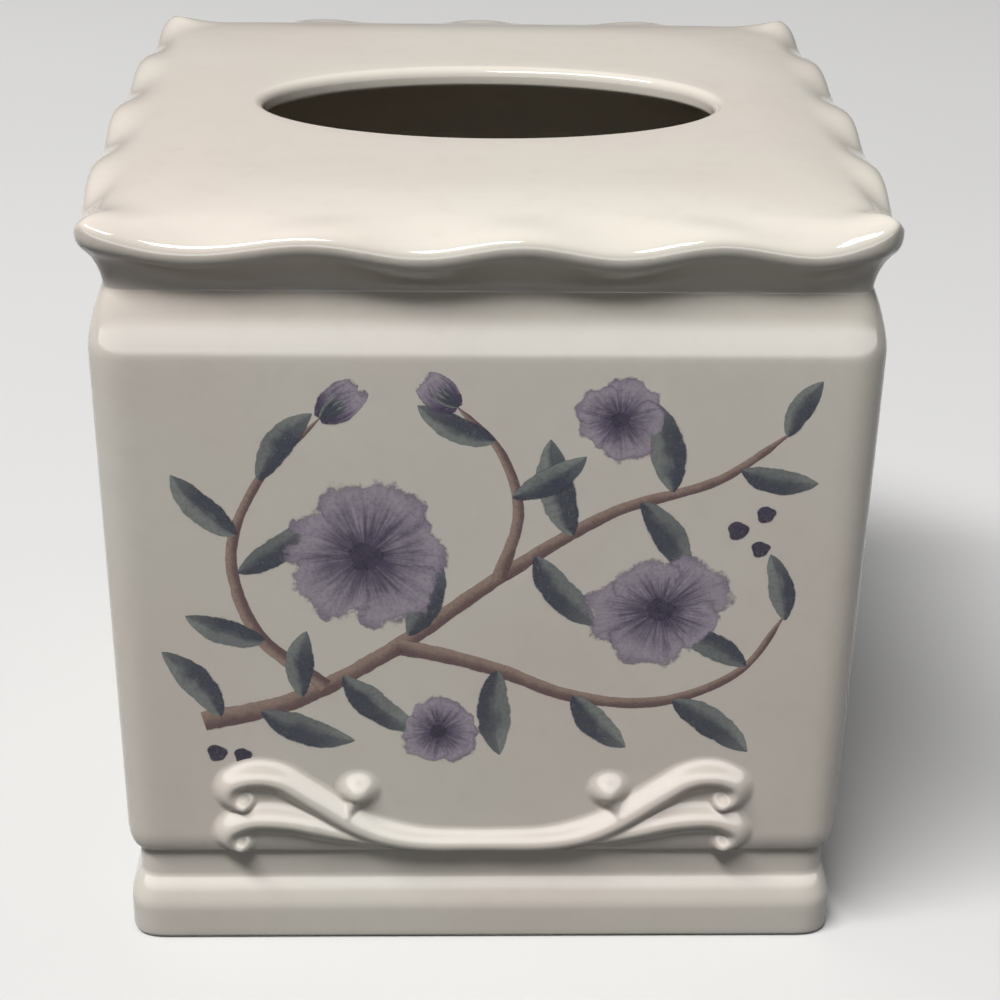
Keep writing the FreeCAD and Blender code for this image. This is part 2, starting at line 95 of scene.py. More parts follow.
class CoverSizes(bpy.types.PropertyGroup):
    wall_half: length(BODY_BOX[1].x + WALL_PROUD, "Wall half width", "Half width at the wall's top")
    wall_lean: length(0.85 * MM, "Wall lean", "How far the wall leans out over its height")
    wall_thickness: length(4.5 * MM, "Wall thickness", "Thickness of the cast wall")
    room_half: length(56.3 * MM, "Room half width", "Half of the clear width for the carton")
    corner_extent: length(7.6 * MM, "Corner extent", "How far a wall's corner runs along each side")
    foot_level: length(BODY_BOX[0].z, "Foot level", "Height of the wall's foot")
    foot_rise: length(4.6 * MM, "Foot rise", "Height over which the wall rounds in to its foot")
    foot_inset: length(1.4 * MM, "Foot inset", "How far the wall rounds in at its foot")
    shoulder_height: length(11.0 * MM, "Shoulder height", "Height of the rounded shoulder")
    shoulder_inset: length(2.95 * MM, "Shoulder inset", "How far the shoulder draws in")
    shoulder_bend: angle(12.0, "Shoulder bend", "Turn of the shoulder's first, tighter bend")
    shoulder_radius: length(14.0 * MM, "Shoulder radius", "Radius of the shoulder's first bend")
    neck_level: length(PLATE_BOX[0].z, "Neck level", "Height of the neck, where the plate sits")
    neck_round: length(0.2 * MM, "Neck round", "Radius of the hollow at the neck")
    tongue_height: length(2.5 * MM, "Tongue height", "Height of each locating tongue")
    fit_clearance: length(0.25 * MM, "Fit clearance", "Play round each locating tongue")
    plinth_half: length(PLINTH_BOX[1].x, "Plinth half width", "Half width of the plinth")
    plinth_height: length(12.6 * MM, "Plinth height", "Height of the plinth's moulding")
    plinth_round: length(6.6 * MM, "Plinth round", "Height of the plinth's rounded upper edge")
    plinth_bend: angle(15.0, "Plinth bend", "Turn of the plinth's first, tighter bend")
    plinth_radius: length(8.0 * MM, "Plinth radius", "Radius of the plinth's first bend")
    plinth_edge: length(1.0 * MM, "Plinth edge", "Radius of the plinth's lower edge")
    groove_half: length(61.15 * MM, "Groove half width", "Half width at the groove's back")
    groove_round: length(3.0 * MM, "Groove round", "Radius at the groove's bottom")
    lip_half: length(66.5 * MM, "Lip half width", "Half width of the lip, half way along a side")
    lip_bow: length(2.5 * MM, "Lip bow", "How far the lip's sides bow out between the corners")
    lip_corner: length(9.0 * MM, "Lip corner", "How far the lip's corner runs along each side")
    lip_level: length(130.2 * MM, "Lip level", "Height of the lip's lower edge")
    lip_edge: length(1.5 * MM, "Lip edge", "How far the rounding of the lip's lower edge reaches")
    lip_slope: angle(2.0, "Lip slope", "How far the lip's face leans back above its lower edge")
    lip_fall: length(1.8 * MM, "Lip fall", "How fully the lip's face falls to its lower edge")
    lip_crown: length(7.6 * MM, "Lip crown", "How fully the lip rounds over from the flat top")
    cove_flare: angle(50.0, "Cove flare", "How far the cove leans out under the lip")
    lip_round: length(10.5 * MM, "Lip round", "Width of the lip's round upper edge")
    corner_lift: length(2.1 * MM, "Corner lift", "How far the lip's corners rise past its crests")
    right_lift: length(1.0 * MM, "Right lift", "How much further the front right corner rises")
    scallop_rise: length(1.0 * MM, "Scallop rise", "How far a crest rises over the lip's level")
    scallop_swell: length(0.1 * MM, "Scallop swell", "How far a crest stands out past the lip")
    scallop_fade: length(8.5 * MM, "Scallop fade", "Width over which the flutes fade inwards")
    wave_drift: length(5.5 * MM, "Wave drift", "How far the front lip's wave runs to the right")
    plate_top: length(136.5 * MM, "Plate top", "Height of the flat top")
    top_droop: length(0.74 * MM, "Top droop", "How far the flat top falls towards the lip")
    plate_thickness: length(3.6 * MM, "Plate thickness", "Thickness of the plate at the mouth")
    mouth_length: length(80.5 * MM, "Mouth length", "Length of the oval mouth")
    mouth_width: length(42.5 * MM, "Mouth width", "Width of the oval mouth")
    mouth_shift: length(0.9 * MM, "Mouth shift", "How far the mouth lies to the right")
    mouth_round: length(1.8 * MM, "Mouth round", "Radius of the mouth's upper edge")
    mouth_under: length(0.8 * MM, "Mouth underside", "Radius of the mouth's lower edge")


class ScrollSizes(bpy.types.PropertyGroup):
    reach: length(44.0 * MM, "Reach", "Half length of the scroll along its centre line")
    stem: length(2.1 * MM, "Stem", "Half width of the scroll's stem at its widest")
    relief: length(1.85 * MM, "Relief", "How far the stem stands out from the wall")
    knob: length(2.3 * MM, "Knob", "Radius of the ball beside each arm")
    knob_relief: length(1.9 * MM, "Knob relief", "How far the ball stands out from the wall")
    upper_flank: share(2.25, "Upper flank", "Upper side of a stroke, as a share of its stem")
    lower_flank: share(1.5, "Lower flank", "Lower side of a stroke, as a share of its stem")
    grid_step: length(0.2 * MM, "Grid step", "Spacing of the relief's mesh")


class GlazeColours(bpy.types.PropertyGroup):
    ivory: colour(228, 221, 209, "Ivory", "Main colour of the glaze")
    blush: colour(226, 213, 203, "Blush", "Warm patches in the glaze")
    pool: colour(196, 186, 168, "Pool", "Glaze that has pooled in the hollows")
    speck: colour(92, 82, 70, "Speck", "Tiny pinholes and specks")


class PrintColours(bpy.types.PropertyGroup):
    leaf_dark: colour(62, 68, 84, "Leaf shade", "Shaded half of a leaf")
    leaf_pale: colour(140, 146, 141, "Leaf light", "Lit half of a leaf")
    petal_deep: colour(74, 60, 92, "Petal throat", "Petals close to the middle")
    petal_pale: colour(176, 165, 180, "Petal wash", "Petals towards their edge")
    eye: colour(50, 42, 68, "Eye", "Middle of a blossom")
    stem_dark: colour(112, 84, 84, "Stem shade", "Shaded side of the branches")
    stem_pale: colour(172, 146, 132, "Stem light", "Lit side of the branches")


class StageSettings(bpy.types.PropertyGroup):
    camera_place: FloatVectorProperty(
        name="Camera place",
        description="Where the camera stands",
        default=(-8.13 * MM, -380.42 * MM, 246.91 * MM),
        subtype="XYZ",
        unit="LENGTH",
    )
    camera_turn: angle(1.82, "Camera turn", "Turn of the view to the right")
    camera_tilt: angle(26.55, "Camera tilt", "How far the view looks down")
    camera_roll: angle(-0.94, "Camera roll", "Roll of the camera about its view")
    focal_length: FloatProperty(
        name="Focal length", description="Focal length in millimetres", default=78.6
    )
    floor_colour: colour(226, 225, 223, "Floor", "Plain pale floor")
    sky_colour: colour(236, 238, 242, "Surroundings", "Soft light from all round")
    sky_strength: share(0.13, "Surroundings strength", "Brightness of the surroundings")
    bounce: share(0.04, "Bounce", "How much of its light the floor throws back on the cover")
    key_strength: share(31.2, "Key strength", "Brightness of the key light's face")
    key_lean: angle(27.0, "Key lean", "How far the key light leans forward from overhead")
    key_turn: angle(-38.0, "Key turn", "How far the key light stands to the right")
    key_distance: length(3.0, "Key distance", "Distance of the key light from the cover")
    key_width: length(2.1, "Key width", "Width of the key light's face")
    key_height: length(0.5, "Key height", "Height of the key light's face")
    panel_strength: share(4.6, "Panel strength", "Brightness of the panel that the glaze mirrors")
    panel_distance: length(0.45, "Panel distance", "Distance of the panel in front of the cover")
    panel_width: length(5.0, "Panel width", "Width of the panel in front of the cover")
    panel_height: length(0.24, "Panel height", "Height of the panel in front of the cover")
    panel_fade: share(0.3, "Panel fade", "Share of the panel's height over which its edges fade")


# Meshes

SIDE_STEPS = 112
CORNER_STEPS = 16
CORNER_EASE_SHARE = 0.7


def corner_curve():
    """Places and outward normals along a unit corner that eases into its bend and out again."""
    fine_steps = 32
    count = CORNER_STEPS * fine_steps
    middles = (np.arange(count) + 0.5) / count
    knots = np.arange(0, count + 1, fine_steps) / count

    def heading(part):
        eased = part - CORNER_EASE_SHARE * np.sin(2 * np.pi * part) / (2 * np.pi)
        return eased * np.pi / 2

    across = np.concatenate([[0.0], np.cumsum(-np.sin(heading(middles)))])
    along = np.concatenate([[0.0], np.cumsum(np.cos(heading(middles)))])
    places = np.stack([across / along[-1], along / along[-1] - 1.0], axis=1)[::fine_steps]
    normals = np.stack([np.cos(heading(knots)), np.sin(heading(knots))], axis=1)
    return places, normals


def square_loop(half, extent):
    """Places, outward normals and shares along the side of a square loop with eased corners."""
    straight = half - extent
    level = np.linspace(-straight, straight, SIDE_STEPS + 1)[:-1]
    side = np.stack([np.full(SIDE_STEPS, half), level], axis=1)
    side_normals = np.tile([1.0, 0.0], (SIDE_STEPS, 1))
    corner, corner_normals = corner_curve()
    corner = half + corner[:-1] * extent
    corner_normals = corner_normals[:-1]
    places = np.concatenate([side, corner])
    normals = np.concatenate([side_normals, corner_normals])
    before_diagonal = places[:, 0] >= places[:, 1]
    run = np.where(before_diagonal, places[:, 1] + half, half - places[:, 0])
    quarter = np.array([[0.0, 1.0], [-1.0, 0.0]])
    all_places, all_normals = [places], [normals]
    for turn in range(len(SIDES) - 1):
        all_places.append(all_places[-1] @ quarter)
        all_normals.append(all_normals[-1] @ quarter)
    shares = np.tile(run / (2 * half), len(SIDES))
    return np.concatenate(all_places), np.concatenate(all_normals), shares


def level_ring(places, height):
    return np.column_stack([places, np.broadcast_to(height, len(places))])


def ellipse_arc(centre, radii, start, end, steps):
    """Points along an upright ellipse between two angles in degrees, both ends included."""
    turn = np.radians(np.linspace(start, end, steps + 1))
    return [(centre[0] + radii[0] * math.cos(a), centre[1] + radii[1] * math.sin(a)) for a in turn]


def drawn_curve(controls, steps):
    """Points along the smooth curve that three or four controls draw, both ends included."""
    degree = len(controls) - 1
    powers = range(degree + 1)
    points = []
    for part in np.linspace(0, 1, steps + 1):
        weights = [math.comb(degree, i) * part**i * (1 - part) ** (degree - i) for i in powers]
        points.append(tuple(sum(w * c[axis] for w, c in zip(weights, controls)) for axis in (0, 1)))
    return points


def straight_run(start, end, steps):
    """Points along a line, without its two ends."""
    parts = [step / steps for step in range(1, steps)]
    return [(start[0] + (end[0] - start[0]) * p, start[1] + (end[1] - start[1]) * p) for p in parts]


def lofted_mesh(name, rings, sharp_rings):
    """A closed mesh through rings of equal length, the last joined to the first."""
    ring_count, size = len(rings), len(rings[0])
    points = np.concatenate(rings)
    ring = np.arange(ring_count)[:, None] * size
    step = np.arange(size)[None, :]
    next_ring = np.roll(ring, -1, axis=0)
    next_step = np.roll(step, -1, axis=1)
    corners = [ring + step, ring + next_step, next_ring + next_step, next_ring + step]
    quads = np.stack([c.ravel() for c in corners], axis=1)
    mesh = mesh_from(name, points, quads)
    edges = np.empty(len(mesh.edges) * 2, dtype=np.int32)
    mesh.edges.foreach_get("vertices", edges)
    first, second = edges[0::2] // size, edges[1::2] // size
    sharp = (first == second) & np.isin(first, list(sharp_rings))
    mark = mesh.attributes.new("sharp_edge", "BOOLEAN", "EDGE")
    mark.data.foreach_set("value", sharp)
    return mesh


def mesh_from(name, points, quads, film=False):
    """A mesh with smooth faces. The rim of a film is sharp."""
    mesh = bpy.data.meshes.new(name)
    mesh.from_pydata(np.asarray(points).tolist(), [], np.asarray(quads).tolist())
    if mesh.validate():
        raise RuntimeError(f"{name} has faces that Blender had to repair")
    mesh.polygons.foreach_set("use_smooth", np.ones(len(mesh.polygons), dtype=bool))
    if film:
        mesh.set_sharp_from_angle(angle=math.radians(60))
    return mesh


def grid_quads(rows, columns):
    """Corner numbers of each cell of a grid of points, counted row by row."""
    number = np.arange(rows * columns).reshape(rows, columns)
    corners = [number[:-1, :-1], number[:-1, 1:], number[1:, 1:], number[1:, :-1]]
    return np.stack(corners, axis=2)


def add_piece(name, mesh, materials, node=None):
    """Puts a mesh in the scene as a piece of the cover."""
    piece = bpy.data.objects.new(name, mesh)
    bpy.context.scene.collection.objects.link(piece)
    for material in materials:
        mesh.materials.append(material)
    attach(piece, "root")
    if node:
        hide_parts(node)
    return piece


class Outline:
    """A closed section of the wall in half widths and heights, with its sharp corners marked."""

    def __init__(self):
        self.points = []
        self.sharp = set()

    def corner(self, half, height):
        self.sharp.add(len(self.points))
        self.points.append((half, height))

    def follow(self, points):
        for point in points:
            if not self.points or math.dist(point, self.points[-1]) > fit_tolerance():
                self.points.append(point)


def fit_tolerance():
    """Points closer than this are one point."""
    return bpy.context.scene.cover_sizes.fit_clearance / 50


def corner_extent_at(sizes, half):
    """Extent of the corners of a loop that runs beside the wall's face."""
    return max(sizes.fit_clearance, sizes.corner_extent + half - sizes.wall_half)


def foot_half(sizes):
    return sizes.wall_half - sizes.wall_lean


def wall_top(sizes):
    return sizes.neck_level - sizes.shoulder_height


def wall_plane(sizes, height):
    """Half width of the flat wall at a height."""
    low = sizes.foot_level + sizes.foot_rise
    return foot_half(sizes) + sizes.wall_lean * (height - low) / (wall_top(sizes) - low)


def inward_bend(start, rise, inset, bend, bend_radius, hollow):
    """A face that draws inwards: a first bend, a longer arc, and a hollow back to upright."""
    half, level = start
    first_centre = (half - bend_radius, level)
    run = rise - bend_radius * math.sin(bend)
    draw = inset - bend_radius * (1 - math.cos(bend))
    full = 2 * math.atan2(draw, run) - bend
    radius = run / (math.sin(full) - math.sin(bend))
    centre = [c + (bend_radius - radius) * t for c, t in zip(first_centre, direction(bend))]
    end = full - hollow * math.tan(full / 2) / radius
    first_turn, last_turn = math.degrees(bend), math.degrees(end)
    face = ellipse_arc(first_centre, (bend_radius, bend_radius), 0, first_turn, 6)
    face += ellipse_arc(centre, (radius, radius), first_turn, last_turn, 16)
    hollow_centre = [c + (radius + hollow) * t for c, t in zip(centre, direction(end))]
    return face, ellipse_arc(hollow_centre, (hollow, hollow), 180 + last_turn, 180, 8)


def shoulder_and_neck(sizes):
    """The shoulder and the hollow at the neck, which the joint with the plate halves."""
    shoulder, neck = inward_bend(
        (sizes.wall_half, wall_top(sizes)),
        sizes.shoulder_height,
        sizes.shoulder_inset,
        sizes.shoulder_bend,
        sizes.shoulder_radius,
        sizes.neck_round,
    )
    return shoulder, neck[:5], neck[4:]


def direction(turn):
    return math.cos(turn), math.sin(turn)


def plinth_outline(sizes):
    """Section of the plinth, from the clear room outwards and up to the tongue."""
    outline = Outline()
    tongue_half = foot_half(sizes) - sizes.wall_thickness - sizes.fit_clearance
    edge, half = sizes.plinth_edge, sizes.plinth_half
    round_low = sizes.plinth_height - sizes.plinth_round
    inset = half - sizes.groove_half
    face, hollow = inward_bend(
        (half, round_low),
        sizes.plinth_round,
        inset,
        sizes.plinth_bend,
        sizes.plinth_radius,
        sizes.groove_round,
    )
    outline.corner(sizes.room_half, 0.0)
    outline.follow(ellipse_arc((half - edge, edge), (edge, edge), -90, 0, 8))
    outline.follow(straight_run((half, edge), (half, round_low), 4))
    outline.follow(face)
    outline.follow(hollow)
    outline.corner(sizes.groove_half, sizes.foot_level)
    outline.corner(tongue_half, sizes.foot_level)
    outline.corner(tongue_half, sizes.foot_level + sizes.tongue_height)
    outline.corner(sizes.room_half, sizes.foot_level + sizes.tongue_height)
    return outline


def body_outline(sizes):
    """Section of the wall, from its foot up over the shoulder to the neck's tongue."""
    outline = Outline()
    foot = foot_half(sizes)
    rounded = foot - sizes.foot_inset
    low = sizes.foot_level + sizes.foot_rise
    shoulder, lower_neck, upper_neck = shoulder_and_neck(sizes)
    tongue_half = sizes.room_half + NECK_TONGUE_SHARE * sizes.wall_thickness
    outline.corner(foot - sizes.wall_thickness, sizes.foot_level)
    outline.follow(
        ellipse_arc((rounded, low), (sizes.foot_inset, sizes.foot_rise), -90, 0, 20)
    )
    outline.follow(straight_run((foot, low), (sizes.wall_half, wall_top(sizes)), 24))
    outline.follow(shoulder)
    outline.follow(lower_neck[:-1])
    outline.corner(*lower_neck[-1])
    joint = lower_neck[-1][1]
    outline.corner(tongue_half, joint)
    outline.corner(tongue_half, joint + sizes.tongue_height)
    outline.corner(sizes.room_half, joint + sizes.tongue_height)
    outline.corner(sizes.room_half, joint)
    outline.corner(sizes.wall_half - sizes.wall_thickness, wall_top(sizes))
    return outline


def square_ring(sizes, half, height):
    places, normals, shares = square_loop(half, corner_extent_at(sizes, half))
    return level_ring(places, height)


def square_mesh(name, sizes, outline):
    rings = [square_ring(sizes, half, height) for half, height in outline.points]
    return lofted_mesh(name, rings, outline.sharp)


SCALLOPS_PER_SIDE = 4
# Over 1, the front wave drifts most to the left of the middle
DRIFT_POWER = 1.4
# Part of a side, from each corner, over which the corner lifts
TIP_SHARE = 0.125
# The wave is full at this share of the cove's height, and the lift only close to its top
WAVE_FULL_SHARE = 0.8
LIFT_POWER = 6
COVE_STEPS, EDGE_STEPS, FACE_STEPS, DROOP_STEPS = 24, 10, 36, 8


def scalloped_ring(sizes, half, height, extent, wave, lift):
    """A loop of the lip, whose crests rise at the corners and at each quarter of a side."""
    places, normals, shares = square_loop(half, extent)
    front = -places[:, 1] >= np.abs(places[:, 0])
    drift = np.where(front, np.sin(np.pi * np.clip(1 - shares, 0, 1) ** DRIFT_POWER), 0.0)
    steady = shares - drift * sizes.wave_drift / (2 * half)
    swing = wave * np.cos(2 * np.pi * SCALLOPS_PER_SIDE * steady)
    bow = wave * (2 * shares - 1) ** 2
    outward = swing * sizes.scallop_swell - bow * sizes.lip_bow
    from_corner = 0.5 - np.abs(shares - 0.5)
    tip = lift * np.clip(1 - from_corner / TIP_SHARE, 0, 1) ** 2
    front_right = (places[:, 0] > 0) & (places[:, 1] < 0)
    tip_rise = sizes.corner_lift + front_right * sizes.right_lift
    height = height + swing * sizes.scallop_rise + tip * tip_rise
    return level_ring(places + normals * outward[:, None], height)


def ease(part):
    part = np.clip(part, 0.0, 1.0)
    return part * part * (3 - 2 * part)


def lip_rings(sizes):
    """Rings from the joint at the neck up the cove, round the lip and onto the flat top."""
    shoulder, lower_neck, upper_neck = shoulder_and_neck(sizes)
    neck, cove_low = upper_neck[-1]
    edge = np.array([sizes.lip_half, sizes.lip_level])
    flare = np.array([math.sin(sizes.cove_flare), math.cos(sizes.cove_flare)])
    under = edge - sizes.lip_edge * flare
    face = np.array([-math.sin(sizes.lip_slope), math.cos(sizes.lip_slope)])
    over = edge + sizes.lip_edge * face
    cove_bend = under[1] - (under[0] - neck) / math.tan(sizes.cove_flare)
    inner = np.array([sizes.lip_half - sizes.lip_round, sizes.plate_top - sizes.top_droop])
    fall = math.atan(2 * sizes.top_droop / sizes.lip_round)
    crown = inner + sizes.lip_crown * np.array([math.cos(fall), -math.sin(fall)])
    points = list(upper_neck)
    points += drawn_curve((upper_neck[-1], (neck, cove_bend), under), COVE_STEPS)[1:]
    points += drawn_curve((under, edge, over), EDGE_STEPS)[1:]
    top_part = len(points)
    points += drawn_curve((over, over + sizes.lip_fall * face, crown, inner), FACE_STEPS)[1:]
    for part in np.arange(1, DROOP_STEPS) / DROOP_STEPS:
        droop = sizes.top_droop * (1 - part) ** 2
        points.append((inner[0] - sizes.lip_round * part, sizes.plate_top - droop))
    neck_extent = corner_extent_at(sizes, neck)
    rings = []
    for index, (half, height) in enumerate(points):
        if index < top_part:
            rise = (height - cove_low) / (over[1] - cove_low)
            wave = ease(rise / WAVE_FULL_SHARE)
            lift = wave * rise**LIFT_POWER
            extent = neck_extent + (sizes.lip_corner - neck_extent) * ease(rise)
        else:
            inward = sizes.lip_half - half
            wave = lift = 1 - ease(inward / sizes.scallop_fade)
            extent = sizes.lip_corner + inward
        rings.append(scalloped_ring(sizes, half, height, extent, wave, lift))
    return rings


def mouth_ring(sizes, spread, height, directions):
    """An oval ring round the mouth, wider than its throat by spread on every side."""
    long_half = sizes.mouth_length / 2 + spread
    short_half = sizes.mouth_width / 2 + spread
    return level_ring(directions * [long_half, short_half] + [sizes.mouth_shift, 0.0], height)


def plate_mesh(name, sizes):
    rings = lip_rings(sizes)
    edge = rings[-1]
    bearing = np.arctan2(edge[:, 1], edge[:, 0])
    directions = np.stack([np.cos(bearing), np.sin(bearing)], axis=1)
    upper, under = sizes.mouth_round, sizes.mouth_under
    underside = sizes.plate_top - sizes.plate_thickness
    rim = mouth_ring(sizes, upper, sizes.plate_top, directions)
    flat_steps = 6
    for step in range(1, flat_steps):
        part = step / flat_steps
        rings.append(edge * (1 - part) + rim * part)
    throat = ellipse_arc((upper, sizes.plate_top - upper), (-upper, upper), 90, 0, 12)
    throat += ellipse_arc((under, underside + under), (-under, under), 0, -90, 8)
    for spread, height in throat:
        rings.append(mouth_ring(sizes, spread, height, directions))
    joint = rings[0][0][2]
    rebate_half = sizes.room_half + NECK_TONGUE_SHARE * sizes.wall_thickness + sizes.fit_clearance
    rebate_top = joint + sizes.tongue_height + sizes.fit_clearance
    inside = (
        (sizes.room_half, underside),
        (sizes.room_half, rebate_top),
        (rebate_half, rebate_top),
        (rebate_half, joint),
    )
    sharp = {0}
    for half, height in inside:
        sharp.add(len(rings))
        rings.append(square_ring(sizes, half, height))
    return lofted_mesh(name, rings, sharp)


# Relief scroll. Its centre lines are runs that follow each other without a kink: a radius, or a
# length where it is straight, as a share of the reach, and the degrees that it turns to the left.
STEM_RUN_SHARES = ((0.16, 0.0), (0.7, 37.0), (0.24, 0.0), (0.186, -67.0))
STEM_START_SHARES = (0.0, 0.045)
ARM_RUN_SHARES = ((1.02, 18.0), (0.145, 0.0), (0.64, -18.0), (0.186, -40.0))
ARM_START_SHARES = (0.227, 0.042)
STALK_RUN_SHARES = ((0.11, 0.0),)
STALK_START_SHARES = (0.54, 0.195)
STALK_HEADING = 114.0
CURL_RADIUS_SHARE = 1.05
CURL_END_HEADING = -180.0
CURL_LEAN_SHARE = 1.5
CURL_BALL_SHARES = (0.7, 0.95)
# Thickness along each centre line: (share of its length, share of the full thickness)
STEM_TAPER_SHARES = ((0.0, 0.85), (0.3, 0.95), (0.6, 1.0), (0.82, 0.95), (1.0, 0.7))
ARM_TAPER_SHARES = ((0.0, 0.3), (0.24, 0.45), (0.5, 0.95), (0.7, 1.0), (0.85, 0.9), (1.0, 0.68))
STALK_TAPER_SHARES = ((0.0, 0.6), (1.0, 0.5))
# The relief's grid reaches past the scroll's centre lines by these counts of stems
GRID_SIDE_STEMS, GRID_TOP_STEMS = 4, 5
GRID_RISE_SHARE = 0.3
# Below this share of its full relief the scroll has run out on the wall
RELIEF_END_SHARE = 0.004


def follow_runs(start, heading, runs):
    """Stations (place along, place up, heading in degrees) along the runs from a start."""
    x, z = start
    stations = [(x, z, heading)]
    for size, turn in runs:
        pieces = max(2, math.ceil(abs(turn) / 4))
        for piece in range(pieces):
            bend = math.radians(turn) / pieces
            chord = 2 * size * math.sin(abs(bend) / 2) if turn else size / pieces
            course = math.radians(heading) + bend / 2
            x += chord * math.cos(course)
            z += chord * math.sin(course)
            heading += turn / pieces
            stations.append((x, z, heading))
    return stations


def centre_line(reach, start_shares, heading, run_shares):
    start = [part * reach for part in start_shares]
    return follow_runs(start, heading, [(part * reach, turn) for part, turn in run_shares])


def add_curl(stations, radius):
    x, z, heading = stations[-1]
    stations.extend(follow_runs((x, z), heading, [(radius, CURL_END_HEADING - heading)])[1:])


def tapered(stations, tapers, half_width, relief):
    """A stroke: its centre line with a half width and a relief at every station."""
    line = np.array([station[:2] for station in stations])
    steps = np.linalg.norm(np.diff(line, axis=0), axis=1)
    place = np.concatenate([[0.0], np.cumsum(steps)])
    thickness = np.interp(place / place[-1], *zip(*tapers))
    return line, thickness * half_width, thickness * relief


def scroll_strokes(sizes):
    """The strokes of the right half of a scroll, its middle on the foot line of the wall."""
    reach, stem, relief = sizes.reach, sizes.stem, sizes.relief
    tight = CURL_RADIUS_SHARE * stem
    arm = centre_line(reach, ARM_START_SHARES, 0.0, ARM_RUN_SHARES)
    rest_level = max(z for x, z, heading in arm) + CURL_LEAN_SHARE * stem
    add_curl(arm, tight)
    swag = centre_line(reach, STEM_START_SHARES, 0.0, STEM_RUN_SHARES)
    x, z, heading = swag[-1]
    add_curl(swag, max(tight, (z - rest_level) / (1 + math.cos(math.radians(heading)))))
    stalk = centre_line(reach, STALK_START_SHARES, STALK_HEADING, STALK_RUN_SHARES)
    lines = (swag, arm, stalk)
    tapers = (STEM_TAPER_SHARES, ARM_TAPER_SHARES, STALK_TAPER_SHARES)
    curl_ball = (CURL_BALL_SHARES[0] * stem, CURL_BALL_SHARES[1] * relief)
    balls = (curl_ball, curl_ball, (sizes.knob, sizes.knob_relief))
    strokes = [tapered(line, taper, stem, relief) for line, taper in zip(lines, tapers)]
    for line, (half_width, ball_relief) in zip(lines, balls):
        spot = np.array([line[-1][:2]] * 2)
        strokes.append((spot, np.full(2, half_width), np.full(2, ball_relief)))
    return strokes


def soft_ridge(distance, foot_width, relief):
    """Height of a stroke with a round crest, whose sides run out softly on the wall."""
    part = np.clip(distance / foot_width, 0.0, 1.0)
    return relief * (1 + np.cos(np.pi * part)) / 2


def stroke_height(along, up, stroke, upper_flank, lower_flank):
    """Height of one stroke over a grid of places."""
    line, half_widths, reliefs = stroke
    height = np.zeros_like(along)
    for index in range(len(line) - 1):
        (x, z), (next_x, next_z) = line[index], line[index + 1]
        run_x, run_z = next_x - x, next_z - z
        squared = run_x**2 + run_z**2
        part = np.zeros_like(along)
        if squared > 0:
            part = np.clip(((along - x) * run_x + (up - z) * run_z) / squared, 0.0, 1.0)
        rise = up - z - part * run_z
        distance = np.hypot(along - x - part * run_x, rise)
        above = rise / np.maximum(distance, fit_tolerance())
        flank = (upper_flank * (1 + above) + lower_flank * (1 - above)) / 2
        half_width = half_widths[index] + part * (half_widths[index + 1] - half_widths[index])
        relief = reliefs[index] + part * (reliefs[index + 1] - reliefs[index])
        height = np.maximum(height, soft_ridge(distance, flank * half_width, relief))
    return height


def merged(first, second):
    """The higher of two reliefs, with a soft crease where they meet."""
    power = 5
    return (first**power + second**power) ** (1 / power)


def foot_recess(sizes, up):
    """How far the rounded foot lies behind the wall's plane, at a height above the foot line."""
    part = np.clip(1 - up / sizes.foot_rise, 0.0, 1.0)
    return sizes.foot_inset * (1 - np.sqrt(1 - part**2))


def scroll_grid(sizes, scroll):
    """The relief over a grid on the wall: places along and up, heights, and what to keep."""
    step = scroll.grid_step
    half_count = math.ceil((scroll.reach + GRID_SIDE_STEMS * scroll.stem) / step)
    up_count = math.ceil((scroll.reach * GRID_RISE_SHARE + GRID_TOP_STEMS * scroll.stem) / step)
    along, up = np.meshgrid(
        np.arange(-half_count, half_count + 1) * step, np.arange(0, up_count + 1) * step
    )
    wall = -foot_recess(sizes, up)
    height = np.zeros_like(along)
    for stroke in scroll_strokes(scroll):
        one = stroke_height(np.abs(along), up, stroke, scroll.upper_flank, scroll.lower_flank)
        height = merged(height, one)
    return along, up, wall + height, wall, height > scroll.relief * RELIEF_END_SHARE


def scroll_mesh(name, sizes, scroll, turn):
    """The scroll as a closed mesh: the relief in front and a back inside the wall."""
    along, up, surface, wall, keep = scroll_grid(sizes, scroll)
    rows, columns = along.shape
    cells = keep[:-1, :-1] | keep[1:, :-1] | keep[:-1, 1:] | keep[1:, 1:]
    quads = grid_quads(rows, columns)[cells]
    heights = sizes.foot_level + up
    front = wall_plane(sizes, heights) + surface
    back = wall_plane(sizes, heights) + wall - sizes.wall_thickness / 4
    faces, used = closed_film(quads, rows * columns)
    layers = [np.stack([along, -side, heights], axis=2).reshape(-1, 3) for side in (front, back)]
    points = np.concatenate(layers)[used]
    return mesh_from(name, turned(points, turn), faces, film=True)


def closed_film(quads, count):
    """Adds a back and a rim to quads over count front points. Returns faces and the points used."""
    back = quads[:, ::-1] + count
    starts = quads.ravel()
    ends = np.roll(quads, -1, axis=1).ravel()
    span = 2 * count
    forward = starts * span + ends
    rim = ~np.isin(forward, ends * span + starts)
    a, b = starts[rim], ends[rim]
    sides = np.stack([b, a, a + count, b + count], axis=1)
    faces = np.concatenate([quads, back, sides])
    used, renumbered = np.unique(faces, return_inverse=True)
    return renumbered.reshape(faces.shape), used


def turned(points, turn):
    """Points of the front wall turned to another wall by quarter turns."""
    x, y, z = points.T
    for quarter in range(turn):
        x, y = -y, x
    return np.stack([x, y, z], axis=1)


# Floral print

LEAF, PETAL, STEM, EYE = range(4)


